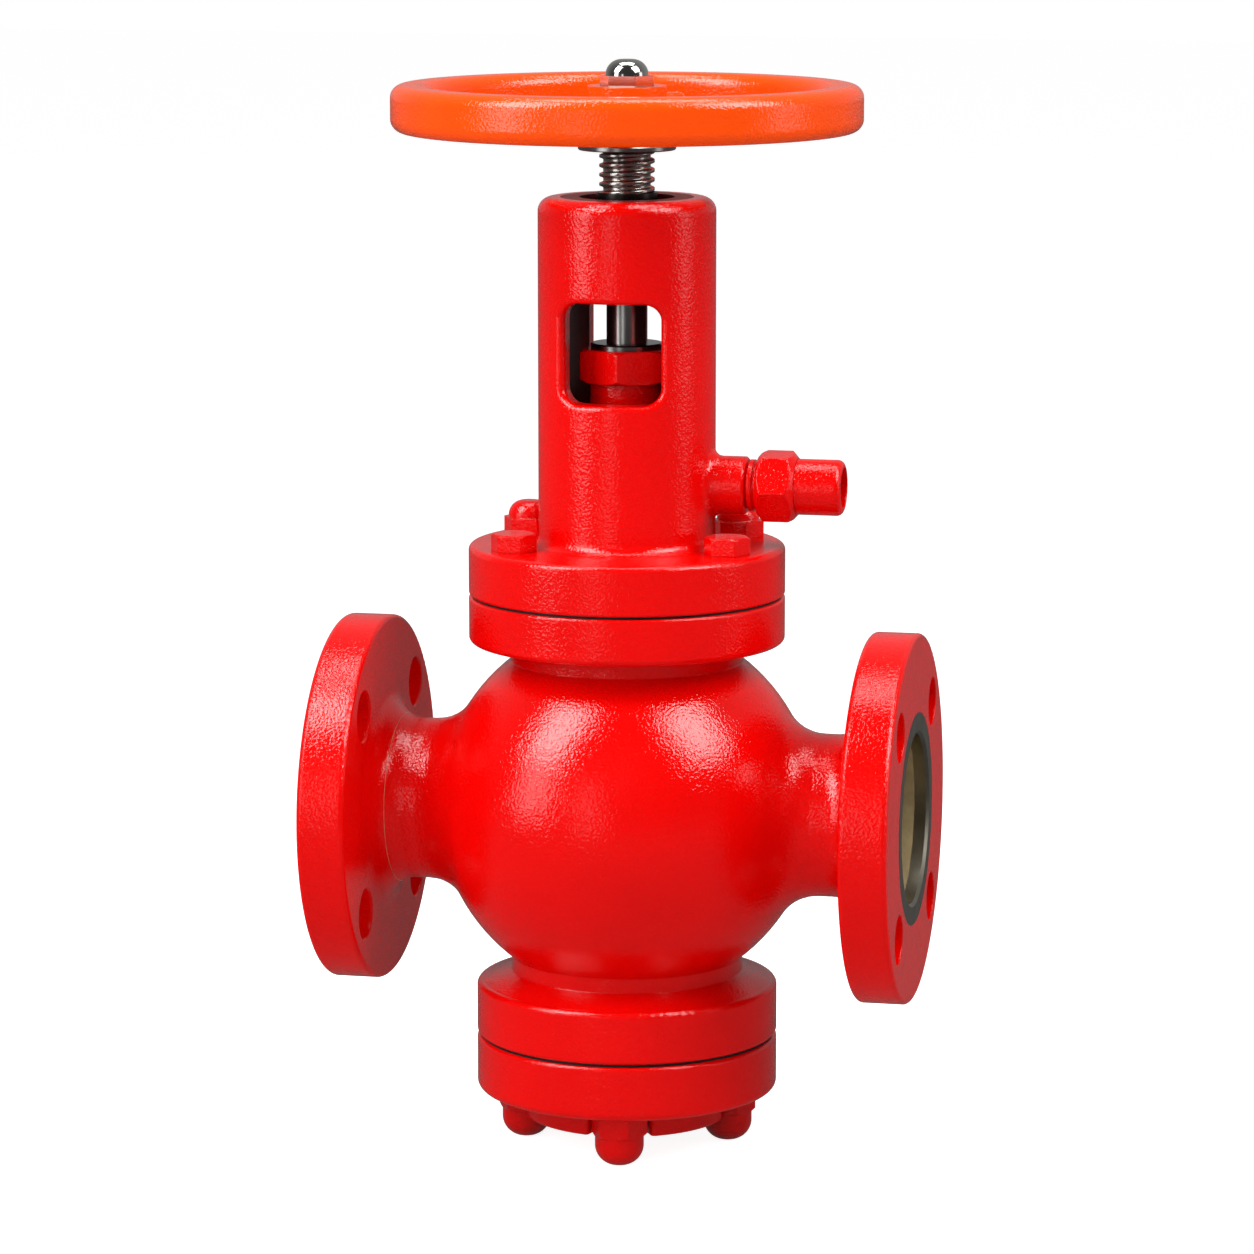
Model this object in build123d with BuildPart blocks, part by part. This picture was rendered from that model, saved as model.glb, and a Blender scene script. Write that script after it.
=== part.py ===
"""Sleeve blowdown valve, DN80: flanged globe body, sleeve and plug inside, yoke, handwheel and leak-off union.

Millimetres, +Z up along the stem, +X along the pipe towards the outlet. The origin is under the stem,
level with the tips of the four cap nuts the valve stands on.
"""

import os

from build123d import *

os.makedirs("parts", exist_ok=True)

# --- driving dimensions -------------------------------------------------------------------------
pipe_z = 185.5  # height of the pipe axis
face_to_face = 318.0  # between the two pipe faces
pipe_flange_od = 200.0
pipe_flange_t = 26.0
pipe_pcd = 154.0  # bolt circle of the pipe flanges
pipe_hole_d = 27.0
face_bore_d = 92.0  # bore at the joint face
port_d = 74.0  # bore through the neck
neck_od = 88.0
neck_root_r = 26.0  # rounding where a neck leaves the round body
neck_end_r = 17.0  # rounding into the back of the pipe flange
face_ring_od = 115.0
face_ring_t = 8.0

ball_d = 206.0  # outside of the round body
ball_wall = 13.0
vert_neck_d = 126.0  # short necks to the top and bottom flanges
sleeve_od = 80.0
sleeve_id = 66.0
sleeve_collar_od = 92.0  # collar clamped under the bonnet
sleeve_collar_h = 10.0
seat_d = 60.0
seat_up = 28.0  # seat above the pipe axis
bridge_t = 13.0  # tilted wall between inlet and outlet chambers
bridge_tilt = 26.5
hub_h = 60.0  # tube cast into the bridge that holds the sleeve
hub_od = 100.0

top_od = 171.0
body_top_z = pipe_z + 117.0
body_top_t = 25.0
gasket_t = 1.5
yoke_flange_t = 26.5
column_od = 95.5
column_top_z = pipe_z + 332.0
cavity_d = 70.0
cavity_z = (pipe_z + 205.0, pipe_z + 285.0)
window_w = 52.0
window_z = (pipe_z + 224.5, pipe_z + 278.5)
window_corner = 9.0
window_edge_r = 3.0
nut_bore_d = 51.0
nut_bore_h = 40.0
box_od = 40.0  # stuffing box
box_low = pipe_z + 150.0
box_top = pipe_z + 244.0
packing_od = 32.0
follower_od = 29.0
slip = 0.1  # radial gap of a piece that only drops in
bolt_gap = 0.75  # radial gap round a bolt or stud

low_od = 164.0
body_low_z = pipe_z - 124.25  # underside of the body's bottom flange
body_low_t = 28.65
low_slope_h = 6.0  # the casting climbs this much from the bottom flange's edge to the neck
cover_z = (pipe_z - 155.5, body_low_z - gasket_t)
disc_r = 56.5
disc_z = pipe_z - 171.0
low_bore_d = 76.0

stem_d = 22.0
stem_thread_d = 29.7
lift = 20.0  # travel of the plug from shut to open
running = 0.05  # radial clearance of a running fit
hex_corner_r = 0.8  # worn corners of every hexagon
hole_break = 0.8  # edge break round the bolt holes on the flange backs

bolt_clear = 18.3  # from the column's side to the bonnet bolts' axes
bonnet_turn = 6.0  # degrees that the bonnet's bolt circle is turned from the pipe axis
top_bolt_d = 14.0
low_bolt_r = 55.5
cover_turn = 8.0  # degrees that the cover's bolt circle is turned from the pipe axis
low_bolt_d = 16.0
tap_depth = 20.0

wheel_od = 252.0
wheel_rim_w = 21.5
wheel_rim_z = (pipe_z + 366.7, pipe_z + 391.8)
wheel_hub_d = 42.0
wheel_hub_z = (pipe_z + 360.0, pipe_z + 391.0)
spoke_w = 20.0
spoke_t = 11.0
spoke_r = 3.0

leak_z = pipe_z + 178.5  # axis of the side fitting
leak_bore_d = 22.0
leak_boss_od = 31.0
leak_boss_x = 66.5  # end of the boss, from the stem axis
leak_thread_od = 27.2
leak_screw_od = 20.0  # end screwed into the boss
leak_screw_depth = 14.5
leak_nut_x = (72.5, 93.5)
leak_joint_x = 80.0  # where adapter and nipple meet, inside the nut
leak_shoulder_t = 4.0  # collar of the nipple that the nut pulls on
leak_waist_od = 25.0
leak_pipe_od = 30.0
leak_end_x = 118.5
leak_way_d = 10.0

half = face_to_face / 2
flange_in = half - pipe_flange_t
ball_r = ball_d / 2
yoke_z = body_top_z + gasket_t
yoke_top_z = yoke_z + yoke_flange_t
top_spots = [
    Location(Vector(column_od / 2 + bolt_clear, 0).rotate(Axis.Z, angle + bonnet_turn))
    for angle in (210, 330, 150, 30)
]
low_spots = [
    Location(Vector(low_bolt_r, 0).rotate(Axis.Z, angle + cover_turn))
    for angle in (270, 0, 90, 180)
]

# --- valve body ---------------------------------------------------------------------------------
# The bridge is cut to the round chamber before it joins the shell.
with BuildPart() as bridge:
    with Locations(Location((0, 0, pipe_z), (0, bridge_tilt, 0))):
        Box(ball_d, ball_d, bridge_t)
    with Locations((0, 0, pipe_z)):
        Cylinder(hub_od / 2, hub_h)
        Sphere(ball_r - ball_wall + 3, mode=Mode.INTERSECT)

with BuildPart() as valve_body:
    # round shell with its short necks and the top and bottom flanges, turned about the stem
    with BuildSketch(Plane.XZ) as shell:
        with Locations((0, pipe_z)):
            Circle(ball_r)
        with Locations((0, (body_top_z + body_low_z) / 2)):
            Rectangle(vert_neck_d, body_top_z - body_low_z)
        with Locations((0, body_top_z - body_top_t / 2)):
            Rectangle(top_od, body_top_t)
        with Locations((0, body_low_z + body_low_t / 2)):
            Rectangle(low_od, body_low_t)
        ledge_z = body_low_z + body_low_t
        with BuildLine():
            Polyline(
                (-low_od / 2 + 3.5, ledge_z),
                (-vert_neck_d / 2, ledge_z + low_slope_h),
                (vert_neck_d / 2, ledge_z + low_slope_h),
                (low_od / 2 - 3.5, ledge_z),
                close=True,
            )
        make_face()
        inner = shell.vertices().filter_by(
            lambda v: abs(abs(v.X) - vert_neck_d / 2) < 0.5
        )
        fillet(inner.filter_by(lambda v: v.Y > body_top_z - body_top_t - 1), 6.0)
        at_ledge = inner.filter_by(lambda v: v.Y < ledge_z + low_slope_h + 0.5)
        fillet(at_ledge, 10.0)
        fillet(inner.filter_by(lambda v: pipe_z < v.Y < body_top_z - body_top_t - 1), 8.0)
        # crisp at the top joint, softer at the cover joint and on the cast backs
        outer = shell.vertices().filter_by(lambda v: abs(v.X) > low_od / 2 - 1)
        fillet(outer.filter_by(lambda v: v.Y > body_top_z - 1), 1.4)
        backs = shell.vertices().filter_by(
            lambda v: abs(v.X) > low_od / 2 - 1 and body_low_z + 4 < v.Y < body_top_z - 4
        )
        fillet(backs, 3.0)
        at_low = shell.vertices().filter_by(
            lambda v: abs(v.X) > low_od / 2 - 1 and v.Y < body_low_z + 1
        )
        fillet(at_low, 2.0)
        with Locations((-200, pipe_z)):
            Rectangle(400, 700, mode=Mode.SUBTRACT)
    revolve(axis=Axis.Z)
    # pipe necks and flanges, turned about the pipe axis
    with BuildSketch(Plane.XZ) as spool:
        with Locations((0, pipe_z + neck_od / 4)):
            Rectangle(face_to_face, neck_od / 2)
        for side in (-1, 1):
            with Locations((side * (half - pipe_flange_t / 2), pipe_z + pipe_flange_od / 4)):
                Rectangle(pipe_flange_t, pipe_flange_od / 2)
        corner = spool.vertices().filter_by(
            lambda v: abs(abs(v.X) - flange_in) < 0.1 and abs(v.Y - pipe_z - neck_od / 2) < 0.1
        )
        fillet(corner, neck_end_r)
        rim = spool.vertices().filter_by(lambda v: v.Y > pipe_z + pipe_flange_od / 2 - 1)
        fillet(rim, 2.5)
    revolve(axis=Axis((0, 0, pipe_z), (1, 0, 0)))
    root = valve_body.edges().filter_by(GeomType.CIRCLE).filter_by(
        lambda e: abs(e.radius - neck_od / 2) < 0.1
        and abs(abs(e.center().X) - (ball_r**2 - neck_od**2 / 4) ** 0.5) < 0.5
    )
    fillet(root, neck_root_r)
    # chamber, pipe bores and sleeve bores
    with Locations((0, 0, pipe_z)):
        Sphere(ball_r - ball_wall, mode=Mode.SUBTRACT)
    add(bridge.part)
    with BuildSketch(Plane.XZ) as port:
        with BuildLine():
            Polyline(
                (half + 1, pipe_z),
                (half + 1, pipe_z + face_ring_od / 2),
                (half - face_ring_t, pipe_z + face_ring_od / 2),
                (half - face_ring_t, pipe_z + face_bore_d / 2),
                (flange_in, pipe_z + face_bore_d / 2),
                (flange_in - 8, pipe_z + port_d / 2),
                (ball_r - 30, pipe_z + port_d / 2),
                (ball_r - 30, pipe_z),
                close=True,
            )
        make_face()
        mirror(about=Plane.YZ)
    revolve(axis=Axis((0, 0, pipe_z), (1, 0, 0)), mode=Mode.SUBTRACT)
    with Locations((0, 0, body_top_z)):
        Cylinder(
            sleeve_od / 2 + slip,
            body_top_z - pipe_z + hub_h,
            align=(Align.CENTER, Align.CENTER, Align.MAX),
            mode=Mode.SUBTRACT,
        )
        Cylinder(
            sleeve_collar_od / 2,
            sleeve_collar_h,
            align=(Align.CENTER, Align.CENTER, Align.MAX),
            mode=Mode.SUBTRACT,
        )
    with Locations((0, 0, body_low_z)):
        Cylinder(
            low_bore_d / 2,
            pipe_z - hub_h / 2 - body_low_z - bridge_t,
            align=(Align.CENTER, Align.CENTER, Align.MIN),
            mode=Mode.SUBTRACT,
        )
    # bolt holes of the pipe flanges
    for side in (-1, 1):
        with Locations(Location((side * half, 0, pipe_z), (0, 90, 0))):
            with PolarLocations(pipe_pcd / 2, 4, start_angle=45):
                Cylinder(pipe_hole_d / 2, 2 * pipe_flange_t + 8, mode=Mode.SUBTRACT)
    mouths = valve_body.edges().filter_by(GeomType.CIRCLE).filter_by(
        lambda e: abs(e.radius - pipe_hole_d / 2) < 0.01 and flange_in - 1 < abs(e.center().X) < half - 1
    )
    chamfer(mouths, hole_break)
    # tapped holes of the bonnet and cover
    with Locations(Location((0, 0, body_top_z))):
        with Locations(*top_spots):
            Cylinder(
                top_bolt_d / 2,
                tap_depth,
                align=(Align.CENTER, Align.CENTER, Align.MAX),
                mode=Mode.SUBTRACT,
            )
    with Locations(Location((0, 0, body_low_z))):
        with Locations(*low_spots):
            Cylinder(
                low_bolt_d / 2,
                tap_depth,
                align=(Align.CENTER, Align.CENTER, Align.MIN),
                mode=Mode.SUBTRACT,
            )
valve_body.part.label = "valve_body"
export_step(valve_body.part, "parts/valve_body.step")

# --- joint-face rings, one in each pipe flange ----------------------------------------------------
with BuildPart() as outlet_face_ring:
    with BuildSketch(Plane.YZ.offset(half - face_ring_t)):
        with Locations((0, pipe_z)):
            Circle(face_ring_od / 2)
            Circle(face_bore_d / 2, mode=Mode.SUBTRACT)
    extrude(amount=face_ring_t)
    lip = outlet_face_ring.edges().filter_by(GeomType.CIRCLE).filter_by(
        lambda e: e.center().X > half - 0.1 and e.radius < face_bore_d / 2 + 1
    )
    chamfer(lip, 1.6)
outlet_face_ring.part.label = "outlet_face_ring"
export_step(outlet_face_ring.part, "parts/outlet_face_ring.step")

with BuildPart() as inlet_face_ring:
    add(outlet_face_ring.part.mirror(Plane.YZ))
inlet_face_ring.part.label = "inlet_face_ring"
export_step(inlet_face_ring.part, "parts/inlet_face_ring.step")

# --- sleeve: ported cage held under the bonnet -----------------------------------------------------
sleeve_low = pipe_z - hub_h / 2
seat_z = pipe_z + seat_up
with BuildPart() as valve_sleeve:
    with BuildSketch(Plane.XZ):
        with BuildLine():
            Polyline(
                (seat_d / 2, sleeve_low),
                (sleeve_od / 2, sleeve_low),
                (sleeve_od / 2, body_top_z - sleeve_collar_h),
                (sleeve_collar_od / 2 - slip, body_top_z - sleeve_collar_h),
                (sleeve_collar_od / 2 - slip, yoke_z),
                (sleeve_id / 2, yoke_z),
                (sleeve_id / 2, seat_z),
                (seat_d / 2, seat_z),
                close=True,
            )
        make_face()
    revolve(axis=Axis.Z)
    # six ports that the plug covers until it lifts
    for turn in (0, 60, 120):
        with BuildSketch(Plane.XZ.rotated((0, turn, 0)).offset(-sleeve_od)):
            with Locations((0, seat_z + 14)):
                RectangleRounded(22, lift - 2, 5)
        extrude(amount=2 * sleeve_od, mode=Mode.SUBTRACT)
valve_sleeve.part.label = "valve_sleeve"
export_step(valve_sleeve.part, "parts/valve_sleeve.step")

# --- plug with the stem's head caught in it ---------------------------------------------------------
plug_z = seat_z + 0.05
plug_h = 52.0
head_z = plug_z + 22.0
head_h = 12.0
head_d = 36.0
retainer_od = 40.0
with BuildPart() as valve_plug:
    with Locations((0, 0, plug_z)):
        Cylinder(sleeve_id / 2 - running, plug_h, align=(Align.CENTER, Align.CENTER, Align.MIN))
        Cylinder(seat_d / 2 - 6, 8, align=(Align.CENTER, Align.CENTER, Align.MIN), mode=Mode.SUBTRACT)
    with Locations((0, 0, head_z)):
        Cylinder(
            retainer_od / 2,
            plug_h,
            align=(Align.CENTER, Align.CENTER, Align.MIN),
            mode=Mode.SUBTRACT,
        )
    chamfer(valve_plug.edges().sort_by(Axis.Z)[0], 0.8)
valve_plug.part.label = "valve_plug"
export_step(valve_plug.part, "parts/valve_plug.step")

with BuildPart() as plug_retainer:
    with Locations((0, 0, head_z + head_h + 0.1)):
        Cylinder(retainer_od / 2, 12, align=(Align.CENTER, Align.CENTER, Align.MIN))
        Cylinder(
            stem_d / 2 + running,
            12,
            align=(Align.CENTER, Align.CENTER, Align.MIN),
            mode=Mode.SUBTRACT,
        )
plug_retainer.part.label = "plug_retainer"
export_step(plug_retainer.part, "parts/plug_retainer.step")

# --- stem ---------------------------------------------------------------------------------------
thread_low = pipe_z + 287.0
shoulder_z = wheel_hub_z[0] - 3.0
with BuildPart() as stem:
    with BuildSketch(Plane.XZ):
        with BuildLine():
            Polyline(
                (0, head_z + 0.05),
                (head_d / 2, head_z + 0.05),
                (head_d / 2, head_z + head_h),
                (stem_d / 2, head_z + head_h),
                (stem_d / 2, thread_low - 3),
                (stem_thread_d / 2, thread_low),
                (stem_thread_d / 2, shoulder_z),
                (stem_d / 2, shoulder_z),
                (stem_d / 2, wheel_hub_z[1] - 1),
                (8, wheel_hub_z[1] - 1),
                (8, wheel_hub_z[1] + 6),
                (0, wheel_hub_z[1] + 6),
                close=True,
            )
        make_face()
    revolve(axis=Axis.Z)
stem.part.label = "stem"
export_step(stem.part, "parts/stem.step")

# --- bonnet gasket and yoke -----------------------------------------------------------------------
with BuildPart() as bonnet_gasket:
    with BuildSketch(Plane.XY.offset(body_top_z)):
        Circle(top_od / 2 - 2.2)
        Circle(sleeve_collar_od / 2 + 1, mode=Mode.SUBTRACT)
        with Locations(*top_spots):
            Circle(top_bolt_d / 2 + 0.5, mode=Mode.SUBTRACT)
    extrude(amount=gasket_t)
bonnet_gasket.part.label = "bonnet_gasket"
export_step(bonnet_gasket.part, "parts/bonnet_gasket.step")

with BuildPart() as yoke:
    with BuildSketch(Plane.XZ):
        with Locations((0, yoke_z)):
            Rectangle(top_od / 2, yoke_flange_t, align=(Align.MIN, Align.MIN))
            Rectangle(column_od / 2, column_top_z - yoke_z, align=(Align.MIN, Align.MIN))
    revolve(axis=Axis.Z)
    # side boss for the leak-off union
    with Locations(Location((0, 0, leak_z), (0, 90, 0))):
        Cylinder(leak_boss_od / 2, leak_boss_x, align=(Align.CENTER, Align.CENTER, Align.MIN))
    rounds = yoke.edges().filter_by(GeomType.CIRCLE)
    fillet(rounds.filter_by(lambda e: abs(e.center().Z - column_top_z) < 0.1 and e.radius > 40), 7.5)
    rounds = yoke.edges().filter_by(GeomType.CIRCLE)
    fillet(
        rounds.filter_by(lambda e: abs(e.center().Z - yoke_top_z) < 0.1 and abs(e.radius - column_od / 2) < 0.1),
        5.5,
    )
    rounds = yoke.edges().filter_by(GeomType.CIRCLE)
    rounds = rounds.filter_by(lambda e: abs(e.radius - top_od / 2) < 0.1).sort_by(Axis.Z)
    fillet(rounds[-1], 3.0)
    fillet(yoke.edges().filter_by(GeomType.CIRCLE).sort_by(Axis.Z)[0], 1.0)
    chamfer(yoke.edges().filter_by(GeomType.CIRCLE).filter_by(lambda e: e.center().X > leak_boss_x - 0.5), 1.2)
    seam = yoke.edges().filter_by(
        lambda e: abs(e.center().X - column_od / 2) < 8
        and abs(e.center().Z - leak_z) < leak_boss_od / 2 + 1
        and abs(e.center().Y) < leak_boss_od / 2 + 1
        and e.geom_type != GeomType.LINE
    )
    fillet(seam, 5.0)
    # cavity, stem nut's bore, stuffing box's bore and the stem's guide
    with Locations((0, 0, cavity_z[0])):
        Cylinder(
            cavity_d / 2,
            cavity_z[1] - cavity_z[0],
            align=(Align.CENTER, Align.CENTER, Align.MIN),
            mode=Mode.SUBTRACT,
        )
        Cylinder(
            box_od / 2 + 2,
            column_top_z - nut_bore_h - cavity_z[0] + 1,
            align=(Align.CENTER, Align.CENTER, Align.MIN),
            mode=Mode.SUBTRACT,
        )
    with Locations((0, 0, column_top_z)):
        Cylinder(
            nut_bore_d / 2,
            nut_bore_h,
            align=(Align.CENTER, Align.CENTER, Align.MAX),
            mode=Mode.SUBTRACT,
        )
    with Locations((0, 0, yoke_z)):
        Cylinder(
            stem_d / 2 + 1.5,
            box_low - yoke_z + 1,
            align=(Align.CENTER, Align.CENTER, Align.MIN),
            mode=Mode.SUBTRACT,
        )
    with Locations((0, 0, box_low)):
        Cylinder(
            box_od / 2,
            cavity_z[0] - box_low + 1,
            align=(Align.CENTER, Align.CENTER, Align.MIN),
            mode=Mode.SUBTRACT,
        )
    # window through front and back, its outer edges rounded
    with BuildSketch(Plane.XZ.offset(-column_od)):
        with Locations((0, (window_z[0] + window_z[1]) / 2)):
            RectangleRounded(window_w, window_z[1] - window_z[0], window_corner)
    extrude(amount=2 * column_od, mode=Mode.SUBTRACT)
    rims = yoke.edges().filter_by(
        lambda e: window_z[0] - 1 < e.center().Z < window_z[1] + 1
        and abs(e.center().Y) > column_od / 2 - 9
        and abs(e.center().X) < window_w / 2 + 1
    )
    fillet(rims, window_edge_r)
    # bore and thread of the side boss, bolt holes of the flange
    with Locations(Location((box_od / 2 - 5, 0, leak_z), (0, 90, 0))):
        Cylinder(
            leak_way_d / 2,
            leak_boss_x,
            align=(Align.CENTER, Align.CENTER, Align.MIN),
            mode=Mode.SUBTRACT,
        )
    with Locations(Location((leak_boss_x - leak_screw_depth - 2, 0, leak_z), (0, 90, 0))):
        Cylinder(
            leak_screw_od / 2,
            leak_boss_x,
            align=(Align.CENTER, Align.CENTER, Align.MIN),
            mode=Mode.SUBTRACT,
        )
    with Locations(Location((0, 0, yoke_z))):
        with Locations(*top_spots):
            Cylinder(top_bolt_d / 2 + bolt_gap, 2 * yoke_flange_t + 47, mode=Mode.SUBTRACT)
yoke.part.label = "yoke"
export_step(yoke.part, "parts/yoke.step")

# --- stem nut pressed in the top of the column ------------------------------------------------------
with BuildPart() as stem_nut:
    with BuildSketch(Plane.XZ):
        with BuildLine():
            Polyline(
                (stem_thread_d / 2 + running, column_top_z - nut_bore_h),
                (nut_bore_d / 2, column_top_z - nut_bore_h),
                (nut_bore_d / 2, column_top_z - 9),
                (16.2, column_top_z - 9),
                (16.2, column_top_z + 2.5),
                (stem_thread_d / 2 + running, column_top_z + 2.5),
                close=True,
            )
        make_face()
    revolve(axis=Axis.Z)
stem_nut.part.label = "stem_nut"
export_step(stem_nut.part, "parts/stem_nut.step")

# --- stuffing box, packing, gland nut and follower ----------------------------------------------------
nut_low = pipe_z + 233.0
nut_top = pipe_z + 251.0
packing_low = leak_z + 8.0
packing_h = 38.0
box_floor_h = 18.0
with BuildPart() as stuffing_box:
    with BuildSketch(Plane.XZ):
        with BuildLine():
            Polyline(
                (stem_d / 2 + 1.0, box_low),
                (box_od / 2, box_low),
                (box_od / 2, box_top),
                (packing_od / 2, box_top),
                (packing_od / 2, box_low + box_floor_h),
                (stem_d / 2 + 1.0, box_low + box_floor_h),
                close=True,
            )
        make_face()
    revolve(axis=Axis.Z)
    # leak-off port to the side boss
    with Locations(Location((packing_od / 2 - 3, 0, leak_z), (0, 90, 0))):
        Cylinder(4.0, 12, align=(Align.CENTER, Align.CENTER, Align.MIN), mode=Mode.SUBTRACT)
stuffing_box.part.label = "stuffing_box"
export_step(stuffing_box.part, "parts/stuffing_box.step")

with BuildPart() as packing:
    with Locations((0, 0, packing_low)):
        Cylinder(packing_od / 2, packing_h, align=(Align.CENTER, Align.CENTER, Align.MIN))
        Cylinder(
            stem_d / 2 + running,
            packing_h,
            align=(Align.CENTER, Align.CENTER, Align.MIN),
            mode=Mode.SUBTRACT,
        )
packing.part.label = "packing"
export_step(packing.part, "parts/packing.step")

# lantern ring spacing the packing off the bottom, level with the leak-off port
with BuildPart() as lantern_ring:
    with Locations((0, 0, box_low + box_floor_h)):
        Cylinder(
            packing_od / 2,
            packing_low - box_low - box_floor_h,
            align=(Align.CENTER, Align.CENTER, Align.MIN),
        )
        Cylinder(
            packing_od / 2 - 2.5,
            packing_low,
            align=(Align.CENTER, Align.CENTER, Align.MIN),
            mode=Mode.SUBTRACT,
        )
    with Locations(Location((0, 0, leak_z), (0, 90, 0))):
        Cylinder(4.0, 40, mode=Mode.SUBTRACT)
lantern_ring.part.label = "lantern_ring"
export_step(lantern_ring.part, "parts/lantern_ring.step")

with BuildPart() as gland_nut:
    with BuildSketch(Plane.XY.offset(nut_low)) as hexagon:
        RegularPolygon(23.0, 6, major_radius=False, rotation=30)
        fillet(hexagon.vertices(), hex_corner_r)
    extrude(amount=nut_top - nut_low)
    with BuildSketch(Plane.XZ):
        with BuildLine():
            Polyline(
                (0, nut_low),
                (23.5, nut_low),
                (27.5, nut_low + 2.5),
                (27.5, nut_top - 2.5),
                (23.5, nut_top),
                (0, nut_top),
                close=True,
            )
        make_face()
    revolve(axis=Axis.Z, mode=Mode.INTERSECT)
    with Locations((0, 0, nut_low)):
        Cylinder(
            box_od / 2,
            box_top + 2 - nut_low,
            align=(Align.CENTER, Align.CENTER, Align.MIN),
            mode=Mode.SUBTRACT,
        )
        Cylinder(
            follower_od / 2,
            2 * (nut_top - nut_low),
            align=(Align.CENTER, Align.CENTER, Align.MIN),
            mode=Mode.SUBTRACT,
        )
gland_nut.part.label = "gland_nut"
export_step(gland_nut.part, "parts/gland_nut.step")

with BuildPart() as gland_follower:
    with Locations((0, 0, packing_low + packing_h)):
        Cylinder(
            follower_od / 2,
            nut_top - packing_low - packing_h,
            align=(Align.CENTER, Align.CENTER, Align.MIN),
        )
    with Locations((0, 0, nut_top)):
        Cylinder(19.5, 3, align=(Align.CENTER, Align.CENTER, Align.MIN))
    with Locations((0, 0, packing_low)):
        Cylinder(
            stem_d / 2 + running,
            2 * packing_h,
            align=(Align.CENTER, Align.CENTER, Align.MIN),
            mode=Mode.SUBTRACT,
        )
    chamfer(gland_follower.edges().filter_by(lambda e: e.center().Z > nut_top + 2.9 and e.radius > 15), 0.8)
gland_follower.part.label = "gland_follower"
export_step(gland_follower.part, "parts/gland_follower.step")

# --- bonnet fasteners: bolts at the front, cap nuts on studs at the back ------------------------------
bolt_names = ("bonnet_bolt_front_left", "bonnet_bolt_front_right")
for name, spot in zip(bolt_names, top_spots[:2]):
    with BuildPart() as bonnet_bolt:
        with BuildSketch(Plane.XY.offset(yoke_top_z)) as hexagon:
            RegularPolygon(11.0, 6, major_radius=False)
            fillet(hexagon.vertices(), hex_corner_r)
        extrude(amount=9.5)
        with BuildSketch(Plane.XZ):
            with BuildLine():
                Polyline(
                    (0, yoke_top_z),
                    (13, yoke_top_z),
                    (13, yoke_top_z + 8),
                    (10.6, yoke_top_z + 9.5),
                    (0, yoke_top_z + 9.5),
                    close=True,
                )
            make_face()
        revolve(axis=Axis.Z, mode=Mode.INTERSECT)
        with Locations((0, 0, yoke_top_z)):
            Cylinder(
                top_bolt_d / 2,
                yoke_flange_t + tap_depth - 4.5,
                align=(Align.CENTER, Align.CENTER, Align.MAX),
            )
    placed = spot * bonnet_bolt.part
    placed.label = name
    export_step(placed, "parts/" + name + ".step")

with BuildPart() as bonnet_stud:
    with Locations((0, 0, yoke_top_z + 11)):
        Cylinder(
            top_bolt_d / 2,
            yoke_flange_t + tap_depth + 7.5,
            align=(Align.CENTER, Align.CENTER, Align.MAX),
        )
with BuildPart() as bonnet_cap_nut:
    with BuildSketch(Plane.XY.offset(yoke_top_z)) as hexagon:
        RegularPolygon(12.5, 6, major_radius=False)
        fillet(hexagon.vertices(), hex_corner_r)
    extrude(amount=9)
    with Locations((0, 0, yoke_top_z + 9)):
        Cylinder(11.5, 9, align=(Align.CENTER, Align.CENTER, Align.MIN))
    fillet(bonnet_cap_nut.edges().sort_by(Axis.Z)[-1], 8.0)
    with Locations((0, 0, yoke_top_z)):
        Cylinder(top_bolt_d / 2, 11, align=(Align.CENTER, Align.CENTER, Align.MIN), mode=Mode.SUBTRACT)
for side, spot in zip(("left", "right"), top_spots[2:]):
    for kind, source in (("stud", bonnet_stud), ("cap_nut", bonnet_cap_nut)):
        placed = spot * source.part
        placed.label = "bonnet_" + kind + "_rear_" + side
        export_step(placed, "parts/" + placed.label + ".step")

# --- bottom cover, its gasket, studs and cap nuts ------------------------------------------------------
with BuildPart() as cover_gasket:
    with BuildSketch(Plane.XY.offset(body_low_z - gasket_t)):
        Circle(low_od / 2 - 2.2)
        Circle(low_bore_d / 2, mode=Mode.SUBTRACT)
        with Locations(*low_spots):
            Circle(low_bolt_d / 2 + 0.5, mode=Mode.SUBTRACT)
    extrude(amount=gasket_t)
cover_gasket.part.label = "cover_gasket"
export_step(cover_gasket.part, "parts/cover_gasket.step")

with BuildPart() as bottom_cover:
    with Locations((0, 0, cover_z[0])):
        Cylinder(low_od / 2, cover_z[1] - cover_z[0], align=(Align.CENTER, Align.CENTER, Align.MIN))
    fillet(bottom_cover.edges().filter_by(GeomType.CIRCLE).sort_by(Axis.Z)[-1], 2.0)
    fillet(bottom_cover.edges().filter_by(GeomType.CIRCLE).sort_by(Axis.Z)[0], 4.0)
    with Locations((0, 0, cover_z[1])):
        Cylinder(low_bore_d / 2 - slip, 14, align=(Align.CENTER, Align.CENTER, Align.MIN))
    # raised disc, scalloped round the four nuts
    with BuildSketch(Plane.XY.offset(disc_z)) as disc:
        Circle(disc_r)
        with Locations(*low_spots):
            Circle(16.2, mode=Mode.SUBTRACT)
        fillet(disc.vertices(), 3.0)
    extrude(amount=cover_z[0] - disc_z)
    fillet(bottom_cover.faces().sort_by(Axis.Z)[0].edges(), 2.0)
    with Locations((0, 0, cover_z[0])):
        with Locations(*low_spots):
            Cylinder(
                low_bolt_d / 2 + bolt_gap,
                2 * (cover_z[1] - cover_z[0]),
                align=(Align.CENTER, Align.CENTER, Align.MIN),
                mode=Mode.SUBTRACT,
            )
bottom_cover.part.label = "bottom_cover"
export_step(bottom_cover.part, "parts/bottom_cover.step")

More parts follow.
